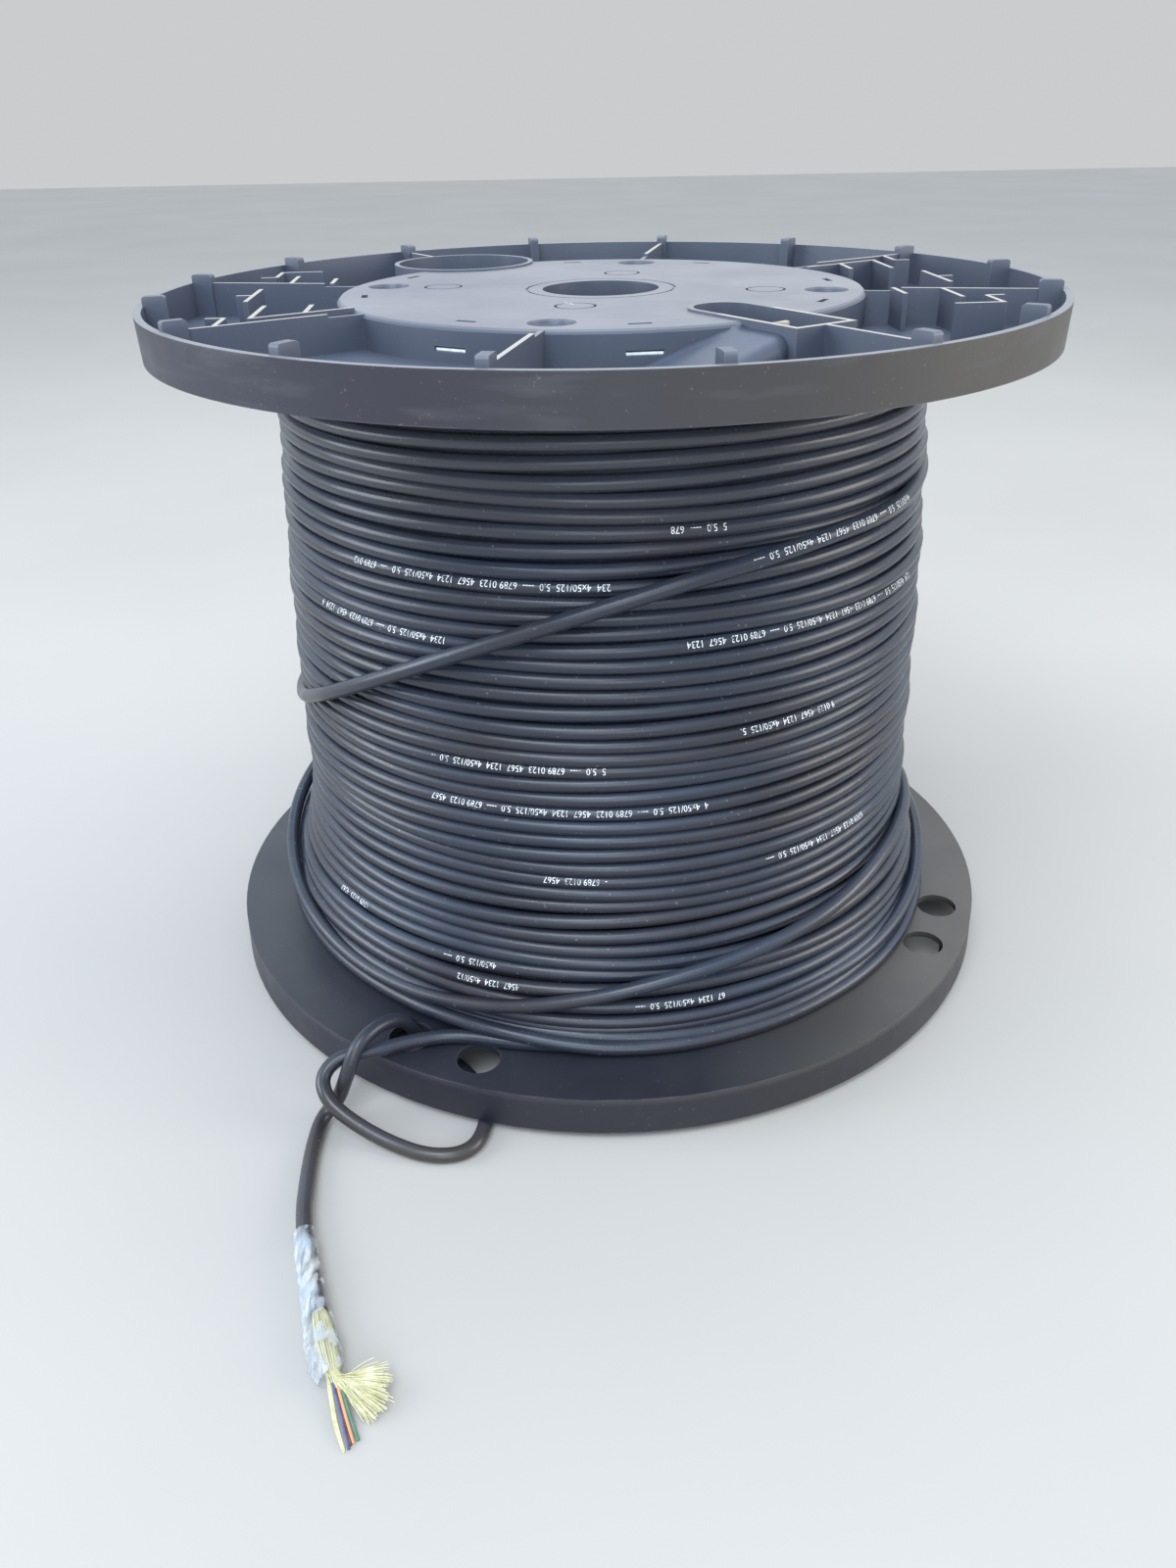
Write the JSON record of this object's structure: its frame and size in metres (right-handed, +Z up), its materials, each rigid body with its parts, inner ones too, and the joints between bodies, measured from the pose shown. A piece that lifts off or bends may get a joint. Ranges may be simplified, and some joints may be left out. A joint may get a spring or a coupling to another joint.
{
  "type": "plastic cable reel with wound fibre cable",
  "caption": "Flanged black plastic reel standing on one flange, wound with round black cable whose taped free end lies on the floor.",
  "frame": {"origin": "On the reel's axis, at floor level under the lower flange's lugs.", "axes": "+Z up along the reel's axis; -Y towards the free end of the cable and the viewer; +X to the viewer's right."},
  "size_m": [0.3048, 0.411, 0.2471],
  "materials": {
    "reel_plastic": "satin black, dusty on top",
    "barrel_plastic": "matte black",
    "cable_jacket": "satin black",
    "clear_tape": "wrinkled clear tape",
    "yarn": "fine fibrous yarn",
    "fibre_blue": "smooth buffered fibre",
    "fibre_orange": "smooth buffered fibre",
    "fibre_green": "smooth buffered fibre",
    "fibre_brown": "smooth buffered fibre"
  },
  "bodies": {
    "root": {"bottom_flange": "reel_plastic", "top_flange": "reel_plastic", "barrel": "barrel_plastic", "cable_winding": "cable_jacket", "cable_tail": "cable_jacket", "tape_wrap": "clear_tape", "aramid_yarn": "yarn", "fibre_blue": "fibre_blue", "fibre_orange": "fibre_orange", "fibre_green": "fibre_green", "fibre_brown": "fibre_brown"}
  },
  "joints": []
}
